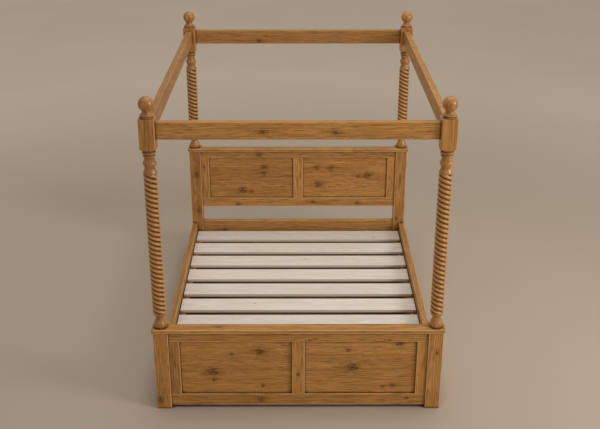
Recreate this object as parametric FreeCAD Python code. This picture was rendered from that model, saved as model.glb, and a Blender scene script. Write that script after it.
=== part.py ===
# Four poster canopy bed in solid pine, all sizes in millimetres.
# X runs across the bed, Y from the foot end (-Y) to the head end (+Y), Z up.
# The origin is on the floor, in the middle of the bed.
import FreeCAD, Part
import math
import os

# Driving dimensions
POST_X = 775.0            # bed centre to post axis, across
POST_Y = 1050.0           # bed centre to post axis, lengthwise
LEG = 84.0                # square section of the legs and of the blocks on top of the posts
FOOT_LEG_TOP = 503.0
HEAD_LEG_TOP = 826.0
CAP_THICK = 22.0
CAP_OVERHANG = 7.0
FOOT_CAP_WAIST = 76.0     # depth of a cap between its two wide ends
HEAD_CAP_WAIST = 60.0
BLOCK_BOTTOM = 1582.0     # square block that the canopy rails meet
BLOCK_TOP = 1752.0
TWIST_RADIUS = 38.0
TWIST_ABOVE_CAP = 88.0    # height of the vase foot below the twist
TWIST_BELOW_BLOCK = 132.0 # height of the collar above it
BALL_HEIGHT = 1824.5      # centre of the finial ball
BALL_RADIUS = 40.5
FINIAL_NECK = 24.0
MATTRESS_DECK = 180.0     # top face of the slats
BOARD_EASE = 2.0          # rounding of a board's long edges
HEAVY_EASE = 3.0          # of the legs and side rails
BLOCK_EASE = 4.0
SLAT_EASE = 1.5
CAP_EASE = 5.5

# Panelled ends
FRAME_THICK = 30.0        # rails, stiles and muntins of both ends
FRAME_SETBACK = 10.0      # frame face behind the leg face
STILE_WIDTH = 60.0
MUNTIN_WIDTH = 72.0
PANEL_THICK = 9.0
PANEL_SETBACK = 12.0      # panel face behind the frame face
GROOVE_DEPTH = 9.0
PANEL_PLAY = 1.0          # room for the panel to swell in its groove
TENON_THICK = 12.0
TENON_LENGTH = 30.0
TENON_SHOULDER = 8.0
STUB_TENON = 20.0         # tenons of stiles and muntins
FOOT_TOP_RAIL = (440.0, 503.0)
FOOT_BOTTOM_RAIL = (19.0, 93.0)
HEAD_TOP_RAIL = (768.0, 826.0)
HEAD_BOTTOM_RAIL = (377.0, 447.0)
HEAD_CROSS_RAIL = (60.0, 260.0)

# Bed base
SIDE_RAIL_THICK = 38.0
SIDE_RAIL_BOTTOM = 40.0
SIDE_RAIL_TOP = 242.0
SIDE_RAIL_INSET = 2.0     # outer face behind the leg's outer face
SLAT_COUNT = 9
SLAT_PITCH = 217.5
SLAT_WIDTH = 154.0
SLAT_THICK = 20.0
SLAT_PLAY = 5.0
FIRST_SLAT_EDGE = 990.0   # head-side edge of the slat nearest the head
LEDGER_WIDTH = 38.0
LEDGER_THICK = 32.0
LEDGER_END_GAP = 5.0

# Canopy
CANOPY_RAIL_THICK = 38.0
CANOPY_RAIL_BOTTOM = 1638.0
CANOPY_RAIL_TOP = 1732.0

# Fixings
STUD_RADIUS = 4.0
STUD_IN_LEG = 50.0
STUD_IN_RAIL = 66.0
STUD_HEIGHTS = (84.0, 168.0)
BARREL_NUT_RADIUS = 7.0
BARREL_NUT_LENGTH = 30.0
BARREL_NUT_INSET = 46.0   # from the rail's end to the nut's axis
DOWEL_RADIUS = 5.0
DOWEL_REACH = 29.0        # into each of the two pieces that it joins
DOWEL_HEIGHTS = (1664.0, 1706.0)
POST_STUD_RADIUS = 8.0
POST_STUD_REACH = 55.0
FINIAL_DOWEL_RADIUS = 7.0
FINIAL_DOWEL_REACH = 28.0
SCREW_RADIUS = 2.2
SCREW_HEAD_RADIUS = 4.4
SCREW_HEAD_DEPTH = 3.0
SLAT_SCREW_LENGTH = 45.0
LEDGER_SCREW_LENGTH = 65.0
LEDGER_SCREWS_PER_SIDE = 6
LEDGER_SCREW_MARGIN = 100.0

# Outlines of the turned work as (radius, height); "arc" marks the middle point of an arc
VASE_OUTLINE = [          # heights above the cap
    (32.0, 0.0),
    (35.2, 4.0),
    ((37.4, 14.0), "arc"),
    (33.6, 32.0),
    ((28.0, 45.0), "arc"),
    (23.0, 59.0),
    (24.0, 67.0),
    ((31.5, 75.0), "arc"),
    (TWIST_RADIUS, TWIST_ABOVE_CAP),
]
COLLAR_OUTLINE = [        # heights above the bottom of the block
    (TWIST_RADIUS, -TWIST_BELOW_BLOCK),
    ((33.5, -118.0), "arc"),
    (27.6, -106.0),
    (27.6, -103.0),
    (30.0, -94.0),
    (32.4, -87.0),
    (33.8, -86.5),
    (33.8, -85.0),
    ((36.3, -74.0), "arc"),
    (29.0, -62.5),
    (27.2, -52.0),
    (27.2, -42.0),
    (31.0, -41.0),
    ((33.8, -36.0), "arc"),
    (31.0, -31.0),
    (28.0, -30.0),
    (28.0, -25.5),
    (33.5, -24.5),
    ((36.8, -18.0), "arc"),
    (33.5, -11.5),
    (28.5, -10.5),
    (28.5, -3.0),
    (33.0, 0.0),
]
FINIAL_OUTLINE = [        # heights above the block
    (35.5, 0.0),
    ((37.5, 3.0), "arc"),
    (35.5, 6.0),
    (31.5, 6.8),
    (31.5, 8.8),
    (35.2, 9.6),
    ((37.6, 13.5), "arc"),
    (34.8, 17.5),
    (31.0, 18.2),
    ((26.2, 23.0), "arc"),
    (23.2, 31.0),
]
BLOCK_CORNER = LEG / math.sqrt(2)
SHOULDER_OUTLINE = [      # rounded bottom of the block, heights above its bottom
    (34.0, 0.0),
    ((48.0, 2.0), "arc"),
    (BLOCK_CORNER, 12.0),
]
BLOCK_TOP_CHAMFER = (3.0, 2.0)    # radius and height taken off the top corners

# Worked out from the above
HALF_LEG = LEG / 2
INNER_X = POST_X - HALF_LEG
INNER_Y = POST_Y - HALF_LEG
RAIL_OUTER_X = POST_X + HALF_LEG - SIDE_RAIL_INSET
RAIL_INNER_X = RAIL_OUTER_X - SIDE_RAIL_THICK
SLAT_BOTTOM = MATTRESS_DECK - SLAT_THICK
SLAT_HALF_LENGTH = RAIL_INNER_X - SLAT_PLAY
LEDGER_HALF_LENGTH = INNER_Y - LEDGER_END_GAP
SIDES = (("left", -1), ("right", 1))
ENDS = (("foot", -1), ("head", 1))

X_AXIS = FreeCAD.Vector(1, 0, 0)
Y_AXIS = FreeCAD.Vector(0, 1, 0)
Z_AXIS = FreeCAD.Vector(0, 0, 1)

nodes = {}


def block(x0, x1, y0, y1, z0, z1):
    """Box between two corners given in any order along X and Y."""
    corner = FreeCAD.Vector(min(x0, x1), min(y0, y1), min(z0, z1))
    return Part.makeBox(abs(x1 - x0), abs(y1 - y0), abs(z1 - z0), corner)


def edges_along(shape, axis):
    """Straight edges of a shape that run along an axis."""
    found = []
    for edge in shape.Edges:
        run = edge.Vertexes[-1].Point - edge.Vertexes[0].Point
        if run.Length > 0 and abs(run.normalize().dot(axis)) > 0.999:
            found.append(edge)
    return found


def board(x0, x1, y0, y1, z0, z1, grain, ease=BOARD_EASE):
    """Planed board whose four long edges, along the grain, are eased."""
    plank = block(x0, x1, y0, y1, z0, z1)
    return plank.makeFillet(ease, edges_along(plank, grain))


def upright_square(x, y, z0, z1, ease):
    """Square post of the legs' section about the vertical line through x, y."""
    return board(x - HALF_LEG, x + HALF_LEG, y - HALF_LEG, y + HALF_LEG, z0, z1, Z_AXIS, ease)


def rod(start, direction, length, radius):
    return Part.makeCylinder(radius, length, start, direction)


def raised(outline, base):
    """Outline with its heights counted from a base height."""
    lifted = []
    for entry in outline:
        if entry[1] == "arc":
            radius, height = entry[0]
            lifted.append(((radius, base + height), "arc"))
        else:
            radius, height = entry
            lifted.append((radius, base + height))
    return lifted


def turned(profile, x, y):
    """Solid turned about the vertical line through x, y.

    The profile is a list of (radius, height), or ((radius, height), "arc") for the
    middle point of an arc between the points before and after it."""
    points = [FreeCAD.Vector(0, 0, profile[0][1])]
    edges = []
    pending = None
    for entry in profile:
        is_arc_middle = entry[1] == "arc"
        radius, height = entry[0] if is_arc_middle else entry
        point = FreeCAD.Vector(radius, 0, height)
        if is_arc_middle:
            pending = point
            continue
        if pending is not None:
            edges.append(Part.Arc(points[-1], pending, point).toShape())
            pending = None
        elif (point - points[-1]).Length > 1e-6:
            edges.append(Part.LineSegment(points[-1], point).toShape())
        points.append(point)
    top = FreeCAD.Vector(0, 0, points[-1].z)
    if (top - points[-1]).Length > 1e-6:
        edges.append(Part.LineSegment(points[-1], top).toShape())
    edges.append(Part.LineSegment(top, points[0]).toShape())
    face = Part.Face(Part.Wire(edges))
    solid = face.revolve(FreeCAD.Vector(0, 0, 0), Z_AXIS, 360)
    solid.translate(FreeCAD.Vector(x, y, 0))
    return solid


def leg_top(end_name):
    return FOOT_LEG_TOP if end_name == "foot" else HEAD_LEG_TOP


# ---------------------------------------------------------------- fixings

def side_rail_studs():
    """Threaded studs that run from each leg into the end of a side rail."""
    rods = []
    for _, side in SIDES:
        x = side * (RAIL_OUTER_X - SIDE_RAIL_THICK / 2)
        for _, end in ENDS:
            for z in STUD_HEIGHTS:
                start = FreeCAD.Vector(x, end * (INNER_Y + STUD_IN_LEG), z)
                inward = Y_AXIS * -end
                rods.append(rod(start, inward, STUD_IN_LEG + STUD_IN_RAIL, STUD_RADIUS))
    return rods


def barrel_nut_seats():
    """Cross drillings from the inner face of each side rail."""
    seats = []
    for _, side in SIDES:
        for _, end in ENDS:
            for z in STUD_HEIGHTS:
                start = FreeCAD.Vector(side * RAIL_INNER_X, end * (INNER_Y - BARREL_NUT_INSET), z)
                seats.append(rod(start, X_AXIS * side, BARREL_NUT_LENGTH, BARREL_NUT_RADIUS))
    return seats


def canopy_dowels():
    """Two dowels at each end of each canopy rail."""
    dowels = []
    for _, end in ENDS:
        for _, side in SIDES:
            for z in DOWEL_HEIGHTS:
                across = FreeCAD.Vector(side * (INNER_X + DOWEL_REACH), end * POST_Y, z)
                dowels.append(rod(across, X_AXIS * -side, 2 * DOWEL_REACH, DOWEL_RADIUS))
                along = FreeCAD.Vector(side * POST_X, end * (INNER_Y + DOWEL_REACH), z)
                dowels.append(rod(along, Y_AXIS * -end, 2 * DOWEL_REACH, DOWEL_RADIUS))
    return dowels


def post_studs():
    """Steel studs from each leg, through the cap, into the foot of the turned post."""
    studs = []
    for _, side in SIDES:
        for end_name, end in ENDS:
            bottom = leg_top(end_name) - POST_STUD_REACH
            length = 2 * POST_STUD_REACH + CAP_THICK
            start = FreeCAD.Vector(side * POST_X, end * POST_Y, bottom)
            studs.append(rod(start, Z_AXIS, length, POST_STUD_RADIUS))
    return studs


def finial_dowels():
    dowels = []
    for _, side in SIDES:
        for _, end in ENDS:
            start = FreeCAD.Vector(side * POST_X, end * POST_Y, BLOCK_TOP - FINIAL_DOWEL_REACH)
            dowels.append(rod(start, Z_AXIS, 2 * FINIAL_DOWEL_REACH, FINIAL_DOWEL_RADIUS))
    return dowels


def countersunk_screw(head_centre, direction, length):
    """Screw with its head flush with the surface at head_centre."""
    cone = Part.makeCone(SCREW_HEAD_RADIUS, SCREW_RADIUS, SCREW_HEAD_DEPTH, head_centre, direction)
    neck = head_centre + direction * SCREW_HEAD_DEPTH
    return cone.fuse(rod(neck, direction, length - SCREW_HEAD_DEPTH, SCREW_RADIUS)).removeSplitter()


def slat_edge(index):
    """Head-side edge of a slat, counted from the head."""
    return FIRST_SLAT_EDGE - index * SLAT_PITCH


def slat_screws():
    """One screw through each slat end into the ledger."""
    screws = []
    for index in range(SLAT_COUNT):
        y = slat_edge(index) - SLAT_WIDTH / 2
        for _, side in SIDES:
            x = side * (RAIL_INNER_X - LEDGER_WIDTH / 2)
            head = FreeCAD.Vector(x, y, MATTRESS_DECK)
            screws.append(countersunk_screw(head, Z_AXIS * -1, SLAT_SCREW_LENGTH))
    return screws


def ledger_screws():
    """Screws through each ledger into the side rail, between the slats' own screws."""
    run = 2 * (LEDGER_HALF_LENGTH - LEDGER_SCREW_MARGIN)
    z = SLAT_BOTTOM - LEDGER_THICK / 2
    screws = []
    for index in range(LEDGER_SCREWS_PER_SIDE):
        y = -run / 2 + index * run / (LEDGER_SCREWS_PER_SIDE - 1)
        for _, side in SIDES:
            head = FreeCAD.Vector(side * (RAIL_INNER_X - LEDGER_WIDTH), y, z)
            screws.append(countersunk_screw(head, X_AXIS * side, LEDGER_SCREW_LENGTH))
    return screws


RAIL_STUDS = side_rail_studs()
NUT_SEATS = barrel_nut_seats()
CANOPY_DOWELS = canopy_dowels()
POST_STUDS = post_studs()
FINIAL_DOWELS = finial_dowels()
SLAT_SCREWS = slat_screws()
LEDGER_SCREWS = ledger_screws()


def drilled(piece, fixings):
    """A piece with the fixings that reach into it cut out of it."""
    box = piece.BoundBox
    near = [fixing for fixing in fixings if box.intersect(fixing.BoundBox)]
    return piece.cut(near) if near else piece


# ---------------------------------------------------------------- legs and panelled ends

def frame_face(end):
    """Y of the face of an end's frame; both frames face the foot end."""
    return end * POST_Y - HALF_LEG + FRAME_SETBACK


def tenon_span(end):
    """Y range of the tenons in the middle of the frame's thickness."""
    middle = frame_face(end) + FRAME_THICK / 2
    return middle - TENON_THICK / 2, middle + TENON_THICK / 2


def panel_span(end):
    face = frame_face(end) + PANEL_SETBACK
    return face, face + PANEL_THICK


def rail_tenon(end, side, heights):
    """Tenon of a cross rail in one leg."""
    y0, y1 = tenon_span(end)
    z0, z1 = heights
    x = side * INNER_X
    return block(x, x + side * TENON_LENGTH, y0, y1, z0 + TENON_SHOULDER, z1 - TENON_SHOULDER)


def end_rails(end_name):
    if end_name == "foot":
        return {"top": FOOT_TOP_RAIL, "bottom": FOOT_BOTTOM_RAIL}
    return {"top": HEAD_TOP_RAIL, "bottom": HEAD_BOTTOM_RAIL, "cross": HEAD_CROSS_RAIL}


def stub_tenon(end, x0, x1, z, upward):
    """Tenon of a stile or muntin in a rail; z is the shoulder's height."""
    y0, y1 = tenon_span(end)
    tip = z + STUB_TENON if upward else z - STUB_TENON
    return block(x0 + TENON_SHOULDER, x1 - TENON_SHOULDER, y0, y1, z, tip)


def upright_spans():
    """X range of the left stile, muntin and right stile."""
    return {
        "left_stile": (-INNER_X, -INNER_X + STILE_WIDTH),
        "muntin": (-MUNTIN_WIDTH / 2, MUNTIN_WIDTH / 2),
        "right_stile": (INNER_X - STILE_WIDTH, INNER_X),
    }


def panel_openings():
    inner = INNER_X - STILE_WIDTH
    return {"left": (-inner, -MUNTIN_WIDTH / 2), "right": (MUNTIN_WIDTH / 2, inner)}


def panel_groove(end, span, z0, z1):
    """Space that a panel and its play take, edges included."""
    y0, y1 = panel_span(end)
    x0, x1 = span
    return block(x0 - GROOVE_DEPTH, x1 + GROOVE_DEPTH, y0, y1, z0 - GROOVE_DEPTH, z1 + GROOVE_DEPTH)


def leg(end_name, end, side):
    x = side * POST_X
    y = end * POST_Y
    top = leg_top(end_name)
    body = upright_square(x, y, 0, top, HEAVY_EASE)
    body = body.cut([rail_tenon(end, side, heights) for heights in end_rails(end_name).values()])
    return drilled(body, RAIL_STUDS + POST_STUDS)


def cross_rail(end_name, end, which):
    """Rail between two legs, tenoned into both and grooved for the panels."""
    z0, z1 = end_rails(end_name)[which]
    face = frame_face(end)
    rail = board(-INNER_X, INNER_X, face, face + FRAME_THICK, z0, z1, X_AXIS)
    rail = rail.fuse([rail_tenon(end, side, (z0, z1)) for _, side in SIDES])
    if which == "cross":
        return rail
    opening_bottom = end_rails(end_name)["bottom"][1]
    opening_top = end_rails(end_name)["top"][0]
    cuts = [panel_groove(end, span, opening_bottom, opening_top) for span in panel_openings().values()]
    for x0, x1 in upright_spans().values():
        if which == "top":
            cuts.append(stub_tenon(end, x0, x1, opening_top, True))
        else:
            cuts.append(stub_tenon(end, x0, x1, opening_bottom, False))
    return rail.cut(cuts)


def upright(end_name, end, which):
    """Stile or muntin between the top and bottom rails of an end."""
    z0 = end_rails(end_name)["bottom"][1]
    z1 = end_rails(end_name)["top"][0]
    x0, x1 = upright_spans()[which]
    face = frame_face(end)
    piece = board(x0, x1, face, face + FRAME_THICK, z0, z1, Z_AXIS)
    piece = piece.fuse([stub_tenon(end, x0, x1, z1, True), stub_tenon(end, x0, x1, z0, False)])
    return piece.cut([panel_groove(end, span, z0, z1) for span in panel_openings().values()])


def panel(end_name, end, side_name):
    z0 = end_rails(end_name)["bottom"][1]
    z1 = end_rails(end_name)["top"][0]
    x0, x1 = panel_openings()[side_name]
    y0, y1 = panel_span(end)
    reach = GROOVE_DEPTH - PANEL_PLAY
    return block(x0 - reach, x1 + reach, y0, y1, z0 - reach, z1 + reach)


def cap(end_name, end):
    """Rounded board along the top of an end, wide over the legs and narrower over the top rail."""
    waist = FOOT_CAP_WAIST if end_name == "foot" else HEAD_CAP_WAIST
    half_x = POST_X + HALF_LEG + CAP_OVERHANG
    half_y = HALF_LEG + CAP_OVERHANG
    y = end * POST_Y
    z = leg_top(end_name)
    notch_x = POST_X - half_y
    plank = block(-half_x, half_x, y - half_y, y + half_y, z, z + CAP_THICK)
    plank = plank.cut(block(-notch_x, notch_x, y - half_y + waist, y + 2 * half_y, z, z + CAP_THICK))
    inner_corners = [edge for edge in edges_along(plank, Z_AXIS) if abs(edge.CenterOfMass.x) < half_x - 1
                     and edge.CenterOfMass.y < y + half_y - 1]
    eased = [edge for edge in plank.Edges if edge.BoundBox.ZMax > z + CAP_EASE
             and not any(edge.isSame(corner) for corner in inner_corners)]
    plank = plank.makeFillet(CAP_EASE, eased)
    return drilled(plank, POST_STUDS)


# ---------------------------------------------------------------- turned posts

def post(end_name, end, side):
    """Turned post: vase foot, twisted shaft, collar and rings, then the square block.

    The shaft is the plain cylinder that the twist is carved from."""
    x = side * POST_X
    y = end * POST_Y
    foot = leg_top(end_name) + CAP_THICK
    shaft = turned(raised(VASE_OUTLINE, foot) + raised(COLLAR_OUTLINE, BLOCK_BOTTOM), x, y)
    square = upright_square(x, y, BLOCK_BOTTOM, BLOCK_TOP, BLOCK_EASE)
    inward, downward = BLOCK_TOP_CHAMFER
    top = [(BLOCK_CORNER, BLOCK_TOP - downward), (BLOCK_CORNER - inward, BLOCK_TOP)]
    shoulders = turned(raised(SHOULDER_OUTLINE, BLOCK_BOTTOM) + top, x, y)
    whole = shaft.fuse(square.common(shoulders))
    return drilled(whole, POST_STUDS + CANOPY_DOWELS + FINIAL_DOWELS)


def finial(end, side):
    """Ball on a flared foot."""
    neck_drop = math.sqrt(BALL_RADIUS ** 2 - FINIAL_NECK ** 2)
    ball = [
        (FINIAL_NECK, BALL_HEIGHT - neck_drop),
        ((BALL_RADIUS, BALL_HEIGHT), "arc"),
        (0.0, BALL_HEIGHT + BALL_RADIUS),
    ]
    piece = turned(raised(FINIAL_OUTLINE, BLOCK_TOP) + ball, side * POST_X, end * POST_Y)
    return drilled(piece, FINIAL_DOWELS)


# ---------------------------------------------------------------- canopy and base

def canopy_end_rail(end):
    y = end * POST_Y
    half = CANOPY_RAIL_THICK / 2
    rail = board(-INNER_X, INNER_X, y - half, y + half, CANOPY_RAIL_BOTTOM, CANOPY_RAIL_TOP, X_AXIS)
    return drilled(rail, CANOPY_DOWELS)


def canopy_side_rail(side):
    x = side * POST_X
    half = CANOPY_RAIL_THICK / 2
    rail = board(x - half, x + half, -INNER_Y, INNER_Y, CANOPY_RAIL_BOTTOM, CANOPY_RAIL_TOP, Y_AXIS)
    return drilled(rail, CANOPY_DOWELS)


def side_rail(side):
    outer = side * RAIL_OUTER_X
    inner = side * RAIL_INNER_X
    rail = board(inner, outer, -INNER_Y, INNER_Y, SIDE_RAIL_BOTTOM, SIDE_RAIL_TOP, Y_AXIS, HEAVY_EASE)
    return drilled(rail, RAIL_STUDS + NUT_SEATS + LEDGER_SCREWS)


def ledger(side):
    inner = side * (RAIL_INNER_X - LEDGER_WIDTH)
    outer = side * RAIL_INNER_X
    bottom = SLAT_BOTTOM - LEDGER_THICK
    strip = block(inner, outer, -LEDGER_HALF_LENGTH, LEDGER_HALF_LENGTH, bottom, SLAT_BOTTOM)
    return drilled(strip, LEDGER_SCREWS + SLAT_SCREWS)


def slat(index):
    edge = slat_edge(index)
    plank = board(-SLAT_HALF_LENGTH, SLAT_HALF_LENGTH, edge - SLAT_WIDTH, edge,
                  SLAT_BOTTOM, MATTRESS_DECK, X_AXIS, SLAT_EASE)
    return drilled(plank, SLAT_SCREWS)


def bored_barrel_nuts():
    """Barrel nuts, each with the hole that its stud runs through."""
    return [seat.cut(RAIL_STUDS) for seat in NUT_SEATS]


def build():
    for end_name, end in ENDS:
        for side_name, side in SIDES:
            nodes[f"{end_name}_leg_{side_name}"] = leg(end_name, end, side)
            nodes[f"{end_name}_post_{side_name}"] = post(end_name, end, side)
            nodes[f"{end_name}_finial_{side_name}"] = finial(end, side)
            nodes[f"{end_name}board_panel_{side_name}"] = panel(end_name, end, side_name)
        for which in end_rails(end_name):
            nodes[f"{end_name}board_{which}_rail"] = cross_rail(end_name, end, which)
        for which in upright_spans():
            nodes[f"{end_name}board_{which}"] = upright(end_name, end, which)
        nodes[f"{end_name}board_cap"] = cap(end_name, end)
        nodes[f"canopy_{end_name}_rail"] = canopy_end_rail(end)
    for side_name, side in SIDES:
        nodes[f"side_rail_{side_name}"] = side_rail(side)
        nodes[f"slat_ledger_{side_name}"] = ledger(side)
        nodes[f"canopy_side_rail_{side_name}"] = canopy_side_rail(side)
    for index in range(SLAT_COUNT):
        nodes[f"slat_{index + 1}"] = slat(index)
    nodes["side_rail_studs"] = Part.Compound(RAIL_STUDS)
    nodes["side_rail_barrel_nuts"] = Part.Compound(bored_barrel_nuts())
    nodes["canopy_dowels"] = Part.Compound(CANOPY_DOWELS)
    nodes["post_studs"] = Part.Compound(POST_STUDS)
    nodes["finial_dowels"] = Part.Compound(FINIAL_DOWELS)
    nodes["slat_screws"] = Part.Compound(SLAT_SCREWS)
    nodes["ledger_screws"] = Part.Compound(LEDGER_SCREWS)


build()
os.makedirs("parts", exist_ok=True)
for name, shape in nodes.items():
    shape.exportStep(f"parts/{name}.step")
    litres = shape.Volume / 1e6
    print(f"{name:28s} solids {len(shape.Solids):3d} volume {litres:9.4f} litres valid {shape.isValid()}")
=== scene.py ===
# The looks of the four poster canopy bed: waxed knotty pine, carved rope-twist posts, raw pine slats.
# Metres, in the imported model's own frame: X across, Y from foot to head, Z up.
import math
import random

import bpy
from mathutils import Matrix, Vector


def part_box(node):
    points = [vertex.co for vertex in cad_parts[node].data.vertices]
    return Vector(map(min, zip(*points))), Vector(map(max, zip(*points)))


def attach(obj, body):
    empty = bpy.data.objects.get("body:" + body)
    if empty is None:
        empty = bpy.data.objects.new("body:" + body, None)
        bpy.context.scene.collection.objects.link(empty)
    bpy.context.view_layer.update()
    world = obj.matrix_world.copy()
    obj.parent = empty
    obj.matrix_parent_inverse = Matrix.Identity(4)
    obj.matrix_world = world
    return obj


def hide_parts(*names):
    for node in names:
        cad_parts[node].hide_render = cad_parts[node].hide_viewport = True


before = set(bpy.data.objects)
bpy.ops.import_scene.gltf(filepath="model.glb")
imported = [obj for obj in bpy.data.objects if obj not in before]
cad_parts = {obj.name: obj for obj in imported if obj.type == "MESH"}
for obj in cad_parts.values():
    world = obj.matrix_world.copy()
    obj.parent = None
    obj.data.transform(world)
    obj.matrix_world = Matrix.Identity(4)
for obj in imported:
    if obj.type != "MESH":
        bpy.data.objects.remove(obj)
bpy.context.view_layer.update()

MM = 0.001
SIDES = ("left", "right")
ENDS = ("foot", "head")


# ---------------------------------------------------------------- camera and light

CAMERA_PLACE = (-0.001, -5.701, 3.242)
CAMERA_LENS = 57.0
CAMERA_DOWN = 23.6        # degrees below level
CAMERA_RIGHT = 0.13       # degrees to the right of straight along the bed
LAMP_COLOUR = (1.0, 0.98, 0.95)
SKY_COLOUR = (1.0, 0.95, 0.89, 1)
SKY_STRENGTH = 0.46


def add_camera():
    """Camera at the photograph's viewing angle, past the foot end and above the bed."""
    data = bpy.data.cameras.new("camera")
    data.sensor_width = 36.0
    data.lens = CAMERA_LENS
    camera = bpy.data.objects.new("camera", data)
    camera.location = CAMERA_PLACE
    camera.rotation_euler = (math.radians(90) - math.radians(CAMERA_DOWN), 0, -math.radians(CAMERA_RIGHT))
    bpy.context.scene.collection.objects.link(camera)
    bpy.context.scene.camera = camera


def add_lamp(name, place, target, size, watts, beam):
    """Rectangular area lamp that faces its target; beam is the full angle of its light in degrees."""
    data = bpy.data.lights.new(name, "AREA")
    data.shape = "RECTANGLE"
    data.size = size[0]
    data.size_y = size[1]
    data.energy = watts
    data.spread = math.radians(beam)
    data.color = LAMP_COLOUR
    lamp = bpy.data.objects.new(name, data)
    lamp.location = place
    lamp.rotation_euler = (Vector(target) - Vector(place)).to_track_quat("-Z", "Y").to_euler()
    bpy.context.scene.collection.objects.link(lamp)


def add_light():
    """Broad soft light from the right and above, with a pale sky all round."""
    world = bpy.data.worlds.new("studio")
    world.use_nodes = True
    background = world.node_tree.nodes["Background"]
    background.inputs["Color"].default_value = SKY_COLOUR
    background.inputs["Strength"].default_value = SKY_STRENGTH
    bpy.context.scene.world = world
    bpy.context.scene.view_settings.view_transform = "Standard"
    add_lamp("window", place=(5.8, -3.5, 3.2), target=(0, 0, 0.7), size=(2.4, 2.0), watts=63, beam=100)
    add_lamp("ceiling", place=(0.5, 0.0, 5.6), target=(0, 0, 0.2), size=(3.6, 3.6), watts=74, beam=180)


# ---------------------------------------------------------------- shader helpers

class Nodes:
    """Adds nodes to one node tree and wires them."""

    def __init__(self, tree):
        self.tree = tree

    def add(self, kind, inputs=None, **settings):
        """New node; inputs are values or other nodes' outputs."""
        node = self.tree.nodes.new(kind)
        for key, value in settings.items():
            setattr(node, key, value)
        for key, value in (inputs or {}).items():
            self.feed(node.inputs[key], value)
        return node

    def feed(self, socket, value):
        if isinstance(value, bpy.types.NodeSocket):
            self.tree.links.new(value, socket)
        else:
            socket.default_value = value

    def math(self, operation, *values):
        node = self.add("ShaderNodeMath", operation=operation)
        for socket, value in zip(node.inputs, values):
            self.feed(socket, value)
        return node.outputs[0]

    def vector(self, x, y, z):
        return self.add("ShaderNodeCombineXYZ", {0: x, 1: y, 2: z}).outputs[0]

    def stretched(self, vector, along, across):
        """Coordinates scaled by one factor along the grain and another across it."""
        return self.add("ShaderNodeVectorMath", {0: vector, 1: (along, across, across)},
                        operation="MULTIPLY").outputs[0]

    def noise(self, vector, detail=2.0, roughness=0.5, distortion=0.0):
        """Smooth noise about 0.5."""
        node = self.add("ShaderNodeTexNoise", {"Vector": vector, "Scale": 1.0, "Detail": detail,
                                               "Roughness": roughness, "Distortion": distortion})
        return node.outputs[0]

    def fit(self, value, from_low, from_high, to_low=0.0, to_high=1.0, curve="SMOOTHSTEP"):
        """Carries a value from one range to the other with soft ends, and holds it within the other."""
        node = self.add("ShaderNodeMapRange", {"Value": value, "From Min": from_low, "From Max": from_high,
                                               "To Min": to_low, "To Max": to_high}, interpolation_type=curve)
        return node.outputs[0]

    def straight(self, value, from_low, from_high, to_low, to_high):
        """The same, in a straight line."""
        return self.fit(value, from_low, from_high, to_low, to_high, "LINEAR")

    def mix(self, factor, first, second, blend="MIX"):
        """Colour that goes from the first to the second, or to their blend, as the factor goes to 1."""
        node = self.add("ShaderNodeMix", data_type="RGBA", blend_type=blend)
        self.feed(node.inputs[0], factor)
        self.feed(node.inputs[6], first)
        self.feed(node.inputs[7], second)
        return node.outputs[2]


def new_material(name):
    """Material without nodes yet, and the helper that adds them."""
    material = bpy.data.materials.new(name)
    material.use_nodes = True
    material.node_tree.nodes.clear()
    return material, Nodes(material.node_tree)


def new_group(name, inputs, outputs):
    """Node group with float or vector inputs; returns it, its helper, inputs and output node."""
    group = bpy.data.node_groups.new(name, "ShaderNodeTree")
    for label, kind in inputs:
        group.interface.new_socket(label, in_out="INPUT", socket_type=kind)
    for label in outputs:
        group.interface.new_socket(label, in_out="OUTPUT", socket_type="NodeSocketFloat")
    nodes = Nodes(group)
    start = nodes.add("NodeGroupInput")
    end = nodes.add("NodeGroupOutput")
    return group, nodes, start.outputs, end.inputs


# ---------------------------------------------------------------- wood

KNOT_RIPPLE = 9.5         # turns the way out from a knot's centre into the phase of its dark rings
KNOT_SEED = 900.0
KNOT_PUSH = 1.5           # how far a knot pushes the rings aside, in its own radii


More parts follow.
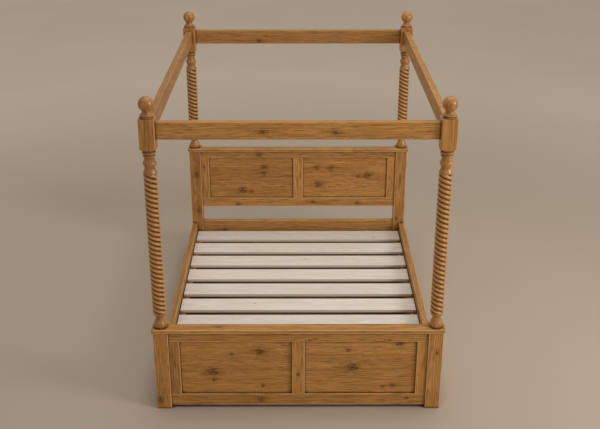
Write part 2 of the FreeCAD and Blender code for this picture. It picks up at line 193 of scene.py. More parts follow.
def knot_group():
    """One knot: a dark core, a warm halo, a streaked tail, and how far it pushes the rings aside."""
    group, nodes, given, result = new_group(
        "knot",
        [("Along", "NodeSocketFloat"), ("Across", "NodeSocketFloat"), ("Radius", "NodeSocketFloat")],
        ["Core", "Halo", "Bulge"])
    along = nodes.math("DIVIDE", given["Along"], given["Radius"])
    across = nodes.math("DIVIDE", given["Across"], given["Radius"])
    # The radius also picks the place in the noise, so knots of different sizes have different shapes
    flat = nodes.vector(along, across, nodes.math("MULTIPLY", given["Radius"], KNOT_SEED))
    ragged = nodes.straight(nodes.noise(nodes.stretched(flat, 0.9, 1.3), 4.0, 0.6), 0.3, 0.7, 0.55, 1.45)

    def reach(long, wide):
        """Ragged distance from the centre, about 1 on an ellipse of those half sizes in radii."""
        squares = nodes.math("ADD", nodes.math("POWER", nodes.math("DIVIDE", along, long), 2.0),
                             nodes.math("POWER", nodes.math("DIVIDE", across, wide), 2.0))
        return nodes.math("MULTIPLY", nodes.math("SQRT", squares), ragged)

    core = reach(1.25, 0.85)
    rings = nodes.fit(nodes.math("SINE", nodes.math("MULTIPLY", core, KNOT_RIPPLE)), -1.0, 1.0, 0.20, 1.0)
    solid = nodes.fit(core, 1.45, 0.45)
    fibres = nodes.fit(nodes.noise(nodes.stretched(flat, 0.45, 3.4), 3.0), 0.40, 0.60)
    tail = nodes.math("MULTIPLY", nodes.fit(reach(6.5, 1.5), 1.0, 0.1), fibres)
    cloud = nodes.fit(reach(3.4, 2.2), 1.0, 0.25)
    cloud = nodes.math("MULTIPLY", cloud, nodes.fit(fibres, 0.0, 1.0, 0.45, 1.0))
    bulge = nodes.math("EXPONENT", nodes.math("MULTIPLY", nodes.math("POWER", reach(3.6, 1.9), 2.0), -1.0))
    nodes.feed(result["Core"], nodes.math("MULTIPLY", solid, rings))
    nodes.feed(result["Halo"], nodes.math("MAXIMUM", cloud, tail))
    push = nodes.math("MULTIPLY", given["Radius"], KNOT_PUSH)
    nodes.feed(result["Bulge"], nodes.math("MULTIPLY", bulge, push))
    return group


def grain_group():
    """Growth rings about a pith beside the board, with streaks, resin lines and fibres along the grain."""
    group, nodes, given, result = new_group(
        "grain",
        [("Place", "NodeSocketVector"), ("Bulge", "NodeSocketFloat"), ("Pith Across", "NodeSocketFloat"),
         ("Pith Depth", "NodeSocketFloat"), ("Ring", "NodeSocketFloat")],
        ["Rings", "Broad", "Streak", "Resin", "Fleck", "Fibre", "Patch"])
    place = given["Place"]

    def figure(along, across, *kind):
        """Noise whose features are long along the grain and narrow across it; scales are per metre."""
        return nodes.noise(nodes.stretched(place, along, across), *kind)

    parts = nodes.add("ShaderNodeSeparateXYZ", {0: place}).outputs
    wander = nodes.straight(figure(0.9, 2.5), 0.0, 1.0, -0.045, 0.045)
    ripple = nodes.straight(figure(5.0, 26.0), 0.0, 1.0, -0.006, 0.006)
    across = nodes.math("ADD", nodes.math("SUBTRACT", parts[1], given["Pith Across"]), wander)
    depth = nodes.math("SUBTRACT", parts[2], given["Pith Depth"])
    radius = nodes.math("SQRT", nodes.math("ADD", nodes.math("POWER", across, 2.0),
                                           nodes.math("POWER", depth, 2.0)))
    radius = nodes.math("ADD", nodes.math("ADD", radius, ripple), given["Bulge"])
    # Within one ring the wood darkens slowly towards the late wood, then turns pale again at once
    saw = nodes.math("FRACT", nodes.math("DIVIDE", radius, given["Ring"]))
    late_wood = nodes.math("MULTIPLY", nodes.fit(saw, 0.25, 0.88), nodes.fit(saw, 1.0, 0.9))
    nodes.feed(result["Rings"], late_wood)
    nodes.feed(result["Broad"], figure(1.3, 27.0))
    nodes.feed(result["Streak"], figure(7.0, 150.0, 3.0, 0.65))
    nodes.feed(result["Resin"], nodes.fit(figure(5.0, 115.0, 2.0, 0.55, 0.2), 0.57, 0.69))
    nodes.feed(result["Fleck"], nodes.fit(figure(15.0, 170.0), 0.56, 0.68))
    nodes.feed(result["Fibre"], figure(24.0, 620.0, 2.0, 0.6))
    nodes.feed(result["Patch"], figure(2.2, 6.0))
    return group


GROUPS = {"knot": knot_group(), "grain": grain_group()}

# Looks of the wood, in linear colours. Early and late are the pale and the dark wood of each ring,
# warm is redder patches, the paler colour of edges and ridges is partly rubbed wear and partly painted
# highlight, and the dark colour in corners and recesses is painted shade. The shares say how much of
# each shows, and crevice_reach is how far the painted shade spreads from a corner, in metres.
WAXED = {
    "early": (0.560, 0.283, 0.086, 1),
    "late": (0.385, 0.168, 0.037, 1),
    "warm": (0.480, 0.212, 0.050, 1),
    "resin": (0.195, 0.073, 0.015, 1),
    "halo": (0.225, 0.087, 0.018, 1),
    "core": (0.068, 0.023, 0.005, 1),
    "worn_and_highlight": (0.760, 0.440, 0.180, 1),
    "corner_shade": (0.070, 0.024, 0.005, 1),
    "ring_share": 0.60, "ring_scale": 1.0, "streaks": 0.25, "resin_share": 0.42, "fleck_share": 0.55,
    "edge_share": 0.85, "crevice_share": 0.86, "crevice_reach": 0.028,
    "roughness": 0.50, "coat": 0.06, "specular": 0.22, "bump": 0.35,
}
# Turned and carved pine: burnished on the lathe, with fewer resin lines and flecks
TURNED = {
    **WAXED,
    "early": (0.530, 0.248, 0.066, 1),
    "late": (0.340, 0.140, 0.027, 1),
    "warm": (0.440, 0.185, 0.039, 1),
    "worn_and_highlight": (0.680, 0.360, 0.125, 1),
    "corner_shade": (0.120, 0.042, 0.008, 1),
    "ring_share": 0.70, "streaks": 0.26, "resin_share": 0.30, "fleck_share": 0.25,
    "edge_share": 0.60, "crevice_share": 0.60, "crevice_reach": 0.020,
    "roughness": 0.33, "coat": 0.28, "specular": 0.40,
}
# The balls show bolder rings, cut across by the turning
BALL = {**TURNED, "ring_share": 0.95, "streaks": 0.40, "ring_scale": 2.0}
# The long side rails have less of the paler edge band, rubbed wear with a painted highlight, than the ends of
# the bed, and the canopy least
SIDE_RAIL = {**WAXED, "edge_share": 0.55}
CANOPY = {**WAXED, "edge_share": 0.25}
# Raw, planed pine of the slats and dowels
RAW = {
    "early": (0.830, 0.765, 0.700, 1),
    "late": (0.700, 0.600, 0.505, 1),
    "warm": (0.790, 0.690, 0.590, 1),
    "resin": (0.640, 0.500, 0.370, 1),
    "halo": (0.570, 0.400, 0.250, 1),
    "core": (0.250, 0.130, 0.065, 1),
    "worn_and_highlight": (0.870, 0.820, 0.760, 1),
    "corner_shade": (0.200, 0.105, 0.045, 1),
    # colour of the sides of raw wood: sawn wood with painted shade
    "sawn_and_shaded": (0.830, 0.630, 0.425, 1),
    "ring_share": 0.40, "ring_scale": 1.0, "streaks": 0.12, "resin_share": 0.20, "fleck_share": 0.15,
    "edge_share": 0.35, "crevice_share": 0.50, "crevice_reach": 0.020,
    "roughness": 0.72, "coat": 0.0, "specular": 0.30, "bump": 0.5,
}
# painted shade in the grooves of the twist
GROOVE_COLOUR = (0.190, 0.066, 0.010, 1)
GRAIN_RELIEF = 0.6 * MM
EDGE_WIDTH = 6.0 * MM     # width of the paler band along an edge: rubbed wear and painted highlight
EDGE_PALEST = 1.0 * MM      # the outer part of it, which is palest
TOP_SKIN = 1.0 * MM       # depth below a slat's top where its sides begin to darken, partly sawn wood and partly painted shade
SAWN_DEPTH = 8.0 * MM     # depth where they are darkest
STAVE = 0.118             # width of the boards that a panel is glued up from
STAVE_START = 0.03        # how far the first joint lies below the panel's middle
STAVE_ALONG = 3.7         # how much further along the log each of them comes from
STAVE_ACROSS = 0.071      # and how much further across it
GOLDEN_RATIO = 0.618

# Brightness of the listed pieces against the rest, which is 1: partly the wood's own tone and partly painted
# shade, darker towards the head end, on the left side and under the slats
TONES_AND_SHADE = {
    "foot_leg_left": 0.90, "foot_leg_right": 0.94, "footboard_top_rail": 0.93, "footboard_bottom_rail": 0.90,
    "footboard_cap": 0.95, "footboard_left_stile": 0.84,
    "head_leg_left": 0.68, "head_leg_right": 0.84, "headboard_cross_rail": 0.83, "headboard_cap": 0.80,
    "headboard_top_rail": 0.86, "headboard_bottom_rail": 0.88, "headboard_left_stile": 0.84,
    "headboard_panel_left": 0.86, "headboard_panel_right": 0.92,
    "canopy_head_rail": 0.75, "canopy_side_rail_left": 0.70, "canopy_side_rail_right": 0.90,
    "side_rail_left": 0.77, "side_rail_right": 0.83, "foot_post_left": 0.84, "foot_post_right": 0.93,
    "head_post_left": 0.80, "head_post_right": 0.86, "foot_finial_left": 0.87, "head_finial_left": 0.84,
    "slat_1": 0.88, "slat_ledger_left": 0.62, "slat_ledger_right": 0.52,
}


def add_knots(nodes, along, across, half, knots):
    """Core, halo and bulge of all the knots together; each is None where there are no knots."""
    core = halo = bulge = None
    for share_along, share_across, radius in knots:
        node = nodes.add("ShaderNodeGroup", node_tree=GROUPS["knot"])
        nodes.feed(node.inputs["Along"], nodes.math("SUBTRACT", along, (2 * share_along - 1) * half[0]))
        nodes.feed(node.inputs["Across"], nodes.math("SUBTRACT", across, (2 * share_across - 1) * half[1]))
        nodes.feed(node.inputs["Radius"], radius * MM)
        core = node.outputs["Core"] if core is None else nodes.math("MAXIMUM", core, node.outputs["Core"])
        halo = node.outputs["Halo"] if halo is None else nodes.math("MAXIMUM", halo, node.outputs["Halo"])
        bulge = node.outputs["Bulge"] if bulge is None else nodes.math("ADD", bulge, node.outputs["Bulge"])
    return core, halo, bulge


def cut_staves(nodes, along, across, tone):
    """Places along and across the log, and tone, for wood that is glued up from staves."""
    number = nodes.math("FLOOR", nodes.math("DIVIDE", nodes.math("ADD", across, STAVE_START), STAVE))
    along = nodes.math("ADD", along, nodes.math("MULTIPLY", number, STAVE_ALONG))
    across = nodes.math("ADD", across, nodes.math("MULTIPLY", number, STAVE_ACROSS - STAVE))
    scatter = nodes.math("FRACT", nodes.math("MULTIPLY", nodes.math("ADD", number, 5.0), GOLDEN_RATIO))
    return along, across, nodes.straight(scatter, 0.0, 1.0, tone * 0.93, tone * 1.07)


def clear_wood(nodes, grain, look, tone):
    """Colour of the wood without its knots: rings, warm patches, resin, flecks and streaks."""
    late = nodes.math("MULTIPLY", grain["Rings"], look["ring_share"])
    warm = nodes.fit(grain["Patch"], 0.40, 0.66, 0.0, 0.55)
    resin = nodes.math("MULTIPLY", grain["Resin"], look["resin_share"])
    flecks = nodes.math("MULTIPLY", grain["Fleck"], look["fleck_share"])
    colour = nodes.mix(late, look["early"], look["late"])
    colour = nodes.mix(warm, colour, look["warm"])
    colour = nodes.mix(resin, colour, look["resin"])
    colour = nodes.mix(flecks, colour, look["resin"])
    swing = look["streaks"]
    shade = nodes.math("ADD", nodes.straight(grain["Broad"], 0.3, 0.7, 1 - swing / 3, 1 + swing / 3),
                       nodes.straight(grain["Streak"], 0.3, 0.7, -swing, swing))
    shade = nodes.math("ADD", shade, nodes.straight(grain["Fibre"], 0.25, 0.75, -0.07, 0.07))
    shade = nodes.math("MULTIPLY", shade, tone)
    return nodes.mix(1.0, colour, nodes.vector(shade, shade, shade), "MULTIPLY")


def twist_shade_and_highlight(nodes, colour, look):
    """Colour, specular and coat of a carved twist: dark with painted shade and dull in its grooves, paler on
    its ridges with rubbed wear and a painted highlight.
    """
    groove = nodes.add("ShaderNodeAttribute", attribute_name="groove").outputs["Fac"]
    ridge = nodes.add("ShaderNodeAttribute", attribute_name="ridge").outputs["Fac"]
    dull = nodes.fit(groove, 0.10, 0.80)
    # painted shade darkens the grooves; the ridges get rubbed wear with a painted highlight
    colour = nodes.mix(nodes.math("MULTIPLY", dull, 0.72), colour, GROOVE_COLOUR)
    colour = nodes.mix(nodes.fit(ridge, 0.70, 1.0, 0.0, 0.55), colour, look["worn_and_highlight"])
    specular = nodes.math("MULTIPLY", nodes.straight(dull, 0.0, 1.0, 1.0, 0.25), look["specular"])
    coat = nodes.math("MULTIPLY", nodes.straight(dull, 0.0, 1.0, 1.0, 0.0), look["coat"])
    return colour, specular, coat


def wear_and_painted_light(nodes, colour, look, place, to_edge, below_top):
    """Paler edges, partly rubbed wear and partly painted highlight; darker sides on raw wood, partly rough
    from the saw and partly painted shade; and painted shade in the corners.
    """
    # paler band along edges: rubbed wear and painted highlight
    edge_patches = nodes.fit(nodes.noise(nodes.stretched(place, 9.0, 40.0), 3.0), 0.28, 0.52)
    edge = nodes.math("MULTIPLY", nodes.fit(to_edge, EDGE_WIDTH, EDGE_PALEST), edge_patches)
    colour = nodes.mix(nodes.math("MULTIPLY", edge, look["edge_share"]), colour, look["worn_and_highlight"])
    # darker sides below the top: sawn wood with painted shade
    if "sawn_and_shaded" in look:
        colour = nodes.mix(nodes.fit(below_top, TOP_SKIN, SAWN_DEPTH, 0.0, 0.85), colour, look["sawn_and_shaded"])
    # painted shade: ambient occlusion darkens corners, recesses and joints towards the dark corner colour
    openness = nodes.add("ShaderNodeAmbientOcclusion", {"Distance": look["crevice_reach"]}, samples=8)
    crevice = nodes.fit(openness.outputs["AO"], 0.88, 0.45, 0.0, look["crevice_share"])
    return nodes.mix(crevice, colour, look["corner_shade"])


def pine(name, low, high, axes, look, knots=(), staves=False, carved=False):
    """Solid wood for one piece.

    axes names the piece's axes along the grain, across it and through it, such as "XZY".
    knots are (share along, share across, radius in mm)."""
    chance = random.Random(name)
    material, nodes = new_material(f"{name}_pine")
    position = nodes.add("ShaderNodeTexCoord").outputs["Object"]
    split = nodes.add("ShaderNodeSeparateXYZ", {0: position}).outputs
    index = ["XYZ".index(letter) for letter in axes]
    centre = [(low[i] + high[i]) / 2 for i in index]
    half = [(high[i] - low[i]) / 2 for i in index]
    along, across, depth = (nodes.math("SUBTRACT", split[i], middle) for i, middle in zip(index, centre))
    core, halo, bulge = add_knots(nodes, along, across, half, knots)

    # random tone, and for listed pieces partly painted shade
    tone = chance.uniform(0.96, 1.04) * TONES_AND_SHADE.get(name, 1.0)
    grain_along = nodes.math("ADD", along, chance.uniform(3, 90))
    grain_across = across
    if staves:
        grain_along, grain_across, tone = cut_staves(nodes, grain_along, across, tone)
    place = nodes.vector(grain_along, grain_across, depth)
    log = nodes.add("ShaderNodeGroup", node_tree=GROUPS["grain"])
    nodes.feed(log.inputs["Place"], place)
    nodes.feed(log.inputs["Pith Across"], chance.uniform(-0.05, 0.05))
    nodes.feed(log.inputs["Pith Depth"], chance.choice((-1, 1)) * chance.uniform(0.05, 0.13))
    nodes.feed(log.inputs["Ring"], chance.uniform(0.0042, 0.0060) * look["ring_scale"])
    if bulge is not None:
        nodes.feed(log.inputs["Bulge"], bulge)
    grain = log.outputs

    colour = clear_wood(nodes, grain, look, tone)
    height = nodes.math("ADD", nodes.math("MULTIPLY", grain["Fibre"], 0.6),
                        nodes.math("MULTIPLY", grain["Rings"], 0.35))
    if core is not None:
        colour = nodes.mix(nodes.math("MULTIPLY", halo, 0.80), colour, look["halo"])
        colour = nodes.mix(nodes.math("MULTIPLY", core, 0.82), colour, look["core"])
        height = nodes.math("SUBTRACT", height, nodes.math("MULTIPLY", core, 0.5))

    specular = look["specular"]
    coat = look["coat"]
    if carved:
        colour, specular, coat = twist_shade_and_highlight(nodes, colour, look)
    to_edge = nodes.math("MAXIMUM",
                         nodes.math("SUBTRACT", half[1], nodes.math("ABSOLUTE", across)),
                         nodes.math("SUBTRACT", half[2], nodes.math("ABSOLUTE", depth)))
    below_top = nodes.math("SUBTRACT", half[2], depth)
    colour = wear_and_painted_light(nodes, colour, look, place, to_edge, below_top)

    roughness = nodes.straight(grain["Streak"], 0.3, 0.7, look["roughness"] - 0.05, look["roughness"] + 0.06)
    bump = nodes.add("ShaderNodeBump", {"Strength": look["bump"], "Distance": GRAIN_RELIEF, "Height": height})
    shader = nodes.add("ShaderNodeBsdfPrincipled", {"Base Color": colour, "Roughness": roughness,
                                                    "Specular IOR Level": specular,
                                                    "Coat Weight": coat, "Coat Roughness": 0.22,
                                                    "Normal": bump.outputs[0]})
    nodes.add("ShaderNodeOutputMaterial", {"Surface": shader.outputs[0]})
    return material


def steel():
    """Bright zinc plating with fine turning marks and dull spots."""
    material, nodes = new_material("zinc_steel")
    position = nodes.add("ShaderNodeTexCoord").outputs["Object"]
    marks = nodes.noise(nodes.stretched(position, 900.0, 900.0), 3.0)
    spots = nodes.fit(nodes.noise(nodes.stretched(position, 160.0, 160.0), 3.0), 0.45, 0.65)
    colour = nodes.mix(spots, (0.62, 0.61, 0.58, 1), (0.44, 0.43, 0.40, 1))
    bump = nodes.add("ShaderNodeBump", {"Strength": 0.2, "Distance": 0.0002, "Height": marks})
    shader = nodes.add("ShaderNodeBsdfPrincipled", {"Base Color": colour, "Metallic": 1.0,
                                                    "Roughness": nodes.fit(marks, 0.3, 0.7, 0.28, 0.42),
                                                    "Normal": bump.outputs[0]})
    nodes.add("ShaderNodeOutputMaterial", {"Surface": shader.outputs[0]})
    return material


# ---------------------------------------------------------------- floor

FLOOR_REACH = 40.0
FLOOR_NEAR = (0.500, 0.415, 0.330, 1)
FLOOR_FAR = (0.790, 0.670, 0.550, 1)
FLOOR_CLOUD = (0.560, 0.470, 0.385, 1)
FLOOR_SHADE = (0.040, 0.018, 0.006, 1)


def add_floor():
    """Plain pale floor with painted light that makes it paler far from the bed, and painted shade underneath
    the bed.
    """
    mesh = bpy.data.meshes.new("floor")
    corners = [(-FLOOR_REACH, -FLOOR_REACH, 0), (FLOOR_REACH, -FLOOR_REACH, 0),
               (FLOOR_REACH, FLOOR_REACH, 0), (-FLOOR_REACH, FLOOR_REACH, 0)]
    mesh.from_pydata(corners, [], [(0, 1, 2, 3)])
    floor = bpy.data.objects.new("floor", mesh)
    bpy.context.scene.collection.objects.link(floor)
    material, nodes = new_material("floor_plaster")
    position = nodes.add("ShaderNodeTexCoord").outputs["Object"]
    distance = nodes.add("ShaderNodeVectorMath", {0: position}, operation="LENGTH").outputs["Value"]
    # painted light: paler further from the bed, making up for the lamps' light falling off with distance
    colour = nodes.mix(nodes.fit(distance, 2.4, 6.5), FLOOR_NEAR, FLOOR_FAR)
    cloud = nodes.noise(nodes.stretched(position, 0.7, 0.7), 3.0)
    colour = nodes.mix(nodes.fit(cloud, 0.3, 0.7, 0.0, 0.12), colour, FLOOR_CLOUD)
    # painted shade: ambient occlusion darkens the floor under and around the bed
    openness = nodes.add("ShaderNodeAmbientOcclusion", {"Distance": 0.4}, samples=8).outputs["AO"]
    colour = nodes.mix(nodes.fit(openness, 0.62, 0.15, 0.0, 0.95), colour, FLOOR_SHADE)
    shader = nodes.add("ShaderNodeBsdfPrincipled", {"Base Color": colour, "Roughness": 0.95,
                                                    "Specular IOR Level": 0.0})
    nodes.add("ShaderNodeOutputMaterial", {"Surface": shader.outputs[0]})
    mesh.materials.append(material)


# ---------------------------------------------------------------- turned pieces

LEG_HALF = 42.0 * MM
TWIST_RADIUS = 38.0 * MM
TWIST_DEPTH = 10.5 * MM
TWIST_ROUNDNESS = 0.65    # 1 makes the ridges half round, near 0 they are parabolas
TWIST_STARTS = 3
TWIST_BEGINS = {"foot_post_left": 0.56, "foot_post_right": 0.93}      # in pitches; 0 for the others
RIDGE_PITCH = 28.0 * MM   # height from one ridge to the next
BLOCK_HEIGHT = 170.0 * MM
TWIST_FADE = 20.0 * MM    # height over which the twist grows from nothing at each end
ROW = 1.5 * MM            # height of one row of faces in the twist
COLUMN_DEGREES = 5        # width of one face around a post
CORNER_ANGLE = math.radians(3.0)      # half the width of a block's chamfer, seen from the axis
BLOCK_EASE = 2.5 * MM     # rounding of the block's top edge
SHARP_DEGREES = 38        # edges that turn more than this stay crisp


def arc(first, middle, last, steps=8):
    """Points of the arc through three (radius, height) points, without the first one."""
    (ax, ay), (bx, by), (cx, cy) = first, middle, last
    double_area = 2 * (ax * (by - cy) + bx * (cy - ay) + cx * (ay - by))
    if abs(double_area) < 1e-12:
        return [last]
    a2, b2, c2 = ax * ax + ay * ay, bx * bx + by * by, cx * cx + cy * cy
    ux = (a2 * (by - cy) + b2 * (cy - ay) + c2 * (ay - by)) / double_area
    uy = (a2 * (cx - bx) + b2 * (ax - cx) + c2 * (bx - ax)) / double_area
    radius = math.hypot(ax - ux, ay - uy)
    start = math.atan2(ay - uy, ax - ux)
    via = math.atan2(by - uy, bx - ux)
    end = math.atan2(cy - uy, cx - ux)
    turn = (end - start) % (2 * math.pi)
    if (via - start) % (2 * math.pi) > turn:
        turn -= 2 * math.pi
    angles = [start + turn * i / steps for i in range(1, steps + 1)]
    return [(ux + radius * math.cos(angle), uy + radius * math.sin(angle)) for angle in angles]


def outline(*entries):
    """Outline in (radius, height) from points and ("arc", middle, end) entries.

    The entries are in millimetres and the outline is in metres."""
    points = []
    for entry in entries:
        if entry[0] == "arc":
            points.extend(arc(points[-1], entry[1], entry[2]))
        else:
            points.append(entry)
    return [(radius * MM, height * MM) for radius, height in points]


def vase_foot():
    """Foot of the post, up to the start of the twist; heights above the cap."""
    return outline((32.0, 0), (35.2, 4), ("arc", (37.4, 14), (33.6, 32)), ("arc", (28.0, 45), (23.0, 59)),
                   (24.0, 67), ("arc", (31.5, 75), (38.0, 88)))


def collar():
    """Collar and rings between the twist and the block; heights below the block."""
    return outline((38.0, -132), ("arc", (33.5, -118), (27.6, -106)), (27.6, -103), (30.0, -94), (32.4, -87),
                   (33.8, -86.5), (33.8, -85), ("arc", (36.3, -74), (29.0, -62.5)), (27.2, -52), (27.2, -42),
                   (31.0, -41), ("arc", (33.8, -36), (31.0, -31)), (28.0, -30), (28.0, -25.5), (33.5, -24.5),
                   ("arc", (36.8, -18), (33.5, -11.5)), (28.5, -10.5), (28.5, -3), (33.0, 0))


def square_radius(angle, half):
    """Radius of a square section of that half size in a direction."""
    return half / max(abs(math.cos(angle)), abs(math.sin(angle)))


def around():
    """Directions of a post's columns, with a narrow chamfer at each corner of the square."""
    angles = []
    for degrees in range(0, 360, COLUMN_DEGREES):
        angle = math.radians(degrees)
        if degrees % 90 == 45:
            angles += [angle - CORNER_ANGLE, angle + CORNER_ANGLE]
        else:
            angles.append(angle)
    return angles


def smooth_step(value, low, high):
    """Share of the way from low to high, with soft ends."""
    share = min(1.0, max(0.0, (value - low) / (high - low)))
    return share * share * (3 - 2 * share)


def rope(angle, height, start):
    """How deep the rope twist is cut at a point, 0 on a ridge and 1 in a groove.

    The same left-hand twist on every post: a ridge runs down to the right as it crosses the front.
    Each post's ridges start at their own share of a pitch."""
    phase = (TWIST_STARTS * angle / (2 * math.pi) + height / RIDGE_PITCH + start) % 1.0
    offset = 2 * phase - 1
    bottom = math.sqrt(1 - TWIST_ROUNDNESS)
    return 1 - (math.sqrt(1 - TWIST_ROUNDNESS * offset * offset) - bottom) / (1 - bottom)


def post_rows(bottom, block_bottom, top):
    """Rows of a post as (height, turned radius, share of the twist, half size of the square or none)."""
    foot = [(bottom + height, radius) for radius, height in vase_foot()]
    head = [(block_bottom + height, radius) for radius, height in collar()]
    twist_low, twist_high = foot[-1][0], head[0][0]
    rows = [(height, radius, 0.0, None) for height, radius in foot[:-1]]
    count = round((twist_high - twist_low) / ROW)
    for i in range(count + 1):
        height = twist_low + (twist_high - twist_low) * i / count
        share = smooth_step(height, twist_low - TWIST_FADE / 2, twist_low + TWIST_FADE / 2)
        share *= smooth_step(height, twist_high + TWIST_FADE / 2, twist_high - TWIST_FADE / 2)
        rows.append((height, TWIST_RADIUS, share, None))
    rows += [(height, radius, 0.0, None) for height, radius in head[1:]]
    corner = LEG_HALF * math.sqrt(2)
    shoulder = outline((34.0, 0), ("arc", (48.0, 2), (corner / MM, 12)))
    rows += [(block_bottom + height, radius, 0.0, LEG_HALF) for radius, height in shoulder]
    rows += [(block_bottom + 16 * MM, corner, 0.0, LEG_HALF), (top - BLOCK_EASE, corner, 0.0, LEG_HALF)]
    for turn in (math.radians(15 * i) for i in range(1, 7)):
        rise = BLOCK_EASE * (math.sin(turn) - 1)
        inset = BLOCK_EASE * (math.cos(turn) - 1)
        rows.append((top + rise, corner, 0.0, LEG_HALF + inset))
    return rows


def link_mesh(name, vertices, faces, material):
    """New smooth-shaded piece with crisp edges."""
    mesh = bpy.data.meshes.new(name)
    mesh.from_pydata(vertices, [], faces)
    mesh.materials.append(material)
    mesh.shade_smooth()
    mesh.set_sharp_from_angle(angle=math.radians(SHARP_DEGREES))
    piece = bpy.data.objects.new(name, mesh)
    bpy.context.scene.collection.objects.link(piece)
    return piece


def skin(rows, columns):
    """Faces of a tube of rows times columns, closed by a fan at each end about the last two vertices."""
    faces = []
    for r in range(rows - 1):
        for c in range(columns):
            d = (c + 1) % columns
            faces.append((r * columns + c, r * columns + d, (r + 1) * columns + d, (r + 1) * columns + c))
    bottom, top = rows * columns, rows * columns + 1
    last = (rows - 1) * columns
    for c in range(columns):
        d = (c + 1) % columns
        faces.append((bottom, d, c))
        faces.append((top, last + c, last + d))
    return faces


def carve_post(end, side):
    """Carved post in place of its CAD node, marked with where the twist's grooves and ridges are."""
    node = f"{end}_post_{side}"
    low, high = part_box(node)
    x, y = (low.x + high.x) / 2, (low.y + high.y) / 2
    block_bottom = high.z - BLOCK_HEIGHT
    rows = post_rows(low.z, block_bottom, high.z)
    angles = around()
    vertices = []
    grooves = []
    ridges = []
    for height, turned, share, square in rows:
        for angle in angles:
            cut = rope(angle, height, TWIST_BEGINS.get(node, 0.0)) if share > 0 else 0.0
            radius = turned - TWIST_DEPTH * share * cut
            if square:
                radius = min(radius, square_radius(angle, square))
            vertices.append((x + radius * math.cos(angle), y + radius * math.sin(angle), height))
            grooves.append(cut * share)
            ridges.append((1 - cut) * share)
    vertices += [(x, y, rows[0][0]), (x, y, rows[-1][0])]
    grooves += [0.0, 0.0]
    ridges += [0.0, 0.0]
    material = pine(node, low, high, "ZXY", TURNED, loose_knots(node, 1.2, (4, 7)), carved=True)
    piece = link_mesh(f"{node}_carved", vertices, skin(len(rows), len(angles)), material)
    piece.data.attributes.new("groove", "FLOAT", "POINT").data.foreach_set("value", grooves)
    piece.data.attributes.new("ridge", "FLOAT", "POINT").data.foreach_set("value", ridges)
    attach(piece, "root")
    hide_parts(node)


def finial_outline():
    """Ball on a flared foot, heights above the block."""
    ball, centre, neck = 40.5, 72.5, 24.0
    steps = 28
    start = -math.acos(neck / ball)
    turns = [start + (math.pi / 2 - start) * i / steps for i in range(steps)]
    foot = outline((35.5, 0), ("arc", (37.5, 3), (35.5, 6)), (31.5, 6.8), (31.5, 8.8), (35.2, 9.6),
                   ("arc", (37.6, 13.5), (34.8, 17.5)), (31.0, 18.2),
                   ("arc", (26.2, 23), (23.2, 31)), (24.0, 34))
    return foot + [(ball * MM * math.cos(turn), (centre + ball * math.sin(turn)) * MM) for turn in turns]


def turn_finial(end, side):
    """Turned finial in place of its CAD node."""
    node = f"{end}_finial_{side}"
    low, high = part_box(node)
    x, y = (low.x + high.x) / 2, (low.y + high.y) / 2
    rows = finial_outline()
    columns = 64
    vertices = []
    for radius, height in rows:
        for c in range(columns):
            angle = 2 * math.pi * c / columns
            vertices.append((x + radius * math.cos(angle), y + radius * math.sin(angle), low.z + height))
    vertices += [(x, y, low.z), (x, y, high.z)]
    material = pine(node, low, high, "ZXY", BALL)
    piece = link_mesh(f"{node}_turned", vertices, skin(len(rows), columns), material)
    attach(piece, "root")
    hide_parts(node)


# ---------------------------------------------------------------- boards

# Looks by the first word of a board's name; all others are WAXED
BOARD_LOOKS = {"canopy": CANOPY, "side": SIDE_RAIL}
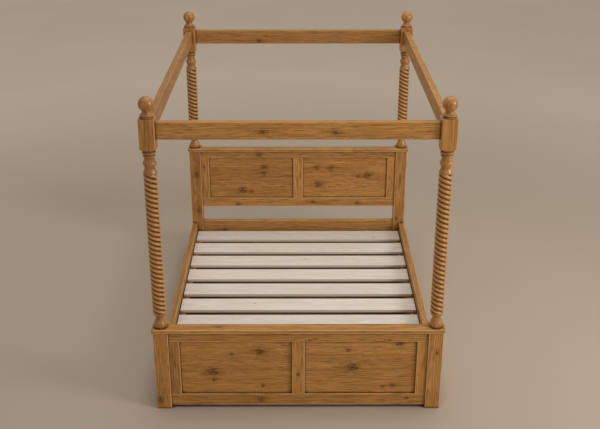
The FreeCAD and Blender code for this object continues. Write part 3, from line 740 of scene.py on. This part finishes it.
# Knots as (share along the grain, share across, radius in mm). They were spotted one by one and their
# radii are listed, but most of their places on the boards were computed outside this script.
# A board that isn't listed here gets seeded knots.
KNOTS = {
    "footboard_panel_left": [(0.71, 0.78, 22), (0.29, 0.41, 23), (0.30, 0.27, 10), (0.46, 0.74, 7),
                             (0.73, 0.16, 10)],
    "footboard_panel_right": [(0.43, 0.49, 23), (0.39, 0.81, 10), (0.84, 0.93, 16), (0.79, 0.16, 12),
                              (0.70, 0.14, 7)],
    "headboard_panel_left": [(0.65, 0.75, 19), (0.65, 0.61, 14), (0.39, 0.19, 23), (0.50, 0.17, 12)],
    "headboard_panel_right": [(0.18, 0.75, 14), (0.34, 0.73, 14), (0.77, 0.55, 24), (0.66, 0.53, 12),
                              (0.19, 0.33, 22)],
    "footboard_muntin": [(0.39, 0.50, 10)],
    "footboard_bottom_rail": [(0.36, 0.50, 14), (0.91, 0.60, 7)],
    "foot_leg_left": [(0.12, 0.24, 17)],
    "foot_leg_right": [(0.74, 0.60, 7)],
    "headboard_top_rail": [(0.31, 0.50, 14)],
    "headboard_bottom_rail": [(0.20, 0.28, 12), (0.575, 0.50, 12), (0.80, 0.40, 12)],
    "head_leg_left": [(0.78, 0.58, 17), (0.42, 0.65, 14)],
    "canopy_foot_rail": [(0.377, 0.45, 13), (0.632, 0.40, 13)],
    "canopy_head_rail": [(0.31, 0.22, 13)],
    "footboard_cap": [(0.23, 0.44, 12)],
    "headboard_cross_rail": [(0.13, 0.60, 13), (0.52, 0.35, 10)],
}


def loose_knots(node, per_metre, radii):
    """Seeded knots for a piece whose own can't be made out."""
    low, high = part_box(node)
    length = max(high - low)
    chance = random.Random(f"{node} knots")
    count = int(length * per_metre + chance.random())
    return [(chance.uniform(0.08, 0.92), chance.uniform(0.15, 0.85), chance.uniform(*radii))
            for _ in range(count)]


def board_axes(node):
    """Axes along the grain, across it and through the board, for each kind of board."""
    if "_leg_" in node or node.endswith(("stile", "muntin")):
        return "ZXY"
    if node.startswith(("side_rail", "canopy_side_rail")):
        return "YZX"
    if node.startswith("slat_ledger"):
        return "YXZ"
    if node.startswith("slat_") or node.endswith("cap"):
        return "XYZ"
    return "XZY"


def dress_boards():
    """Gives every CAD board its own wood, and the fixings theirs."""
    metal = steel()
    for node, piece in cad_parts.items():
        if "_post_" in node or "_finial_" in node:
            continue
        low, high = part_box(node)
        if node.endswith(("studs", "nuts", "screws")):
            material = metal
        elif node.endswith("dowels"):
            material = pine(node, low, high, "ZXY", RAW)
        elif node.startswith("slat_") and "ledger" not in node:
            material = pine(node, low, high, board_axes(node), RAW, loose_knots(node, 0.5, (3, 6)))
        else:
            knots = KNOTS.get(node) or loose_knots(node, 1.0, (5, 9))
            look = BOARD_LOOKS.get(node.split("_")[0], WAXED)
            material = pine(node, low, high, board_axes(node), look, knots, staves="_panel_" in node)
        piece.data.materials.clear()
        piece.data.materials.append(material)


add_camera()
add_light()
add_floor()
dress_boards()
for end_name in ENDS:
    for side_name in SIDES:
        carve_post(end_name, side_name)
        turn_finial(end_name, side_name)
